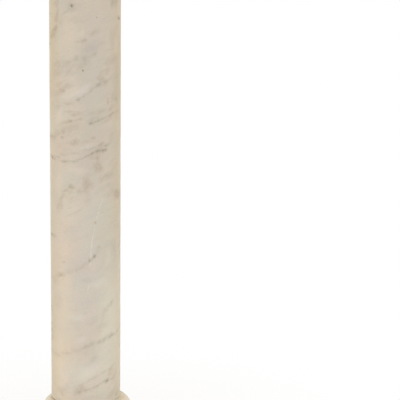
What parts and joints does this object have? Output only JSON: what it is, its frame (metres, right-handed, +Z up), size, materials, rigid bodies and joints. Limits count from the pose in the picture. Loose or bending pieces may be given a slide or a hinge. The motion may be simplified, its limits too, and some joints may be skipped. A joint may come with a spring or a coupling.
{
  "type": "doric column",
  "caption": "Plain Doric column of veined white marble: square plinth with a torus, unfluted straight shaft, and a capital with echinus and square abacus. Stands by its own weight.",
  "frame": {"origin": "middle of the plinth's underside, on the floor that the column stands on", "axes": "+Z up along the shaft; the plinth's and the abacus's sides are parallel to X and Y, and -Y is the side that the picture looks at"},
  "size_m": [0.22, 0.22, 1.2],
  "materials": {
    "base_marble": "honed white marble, cream with grey clouds and a warm patina",
    "shaft_marble": "honed white marble, cream with grey clouds and thin slanting grey veins",
    "capital_marble": "honed white marble, cream with grey clouds and a warm patina"
  },
  "bodies": {
    "root": {"base": "base_marble", "shaft": "shaft_marble", "capital": "capital_marble"}
  },
  "joints": []
}
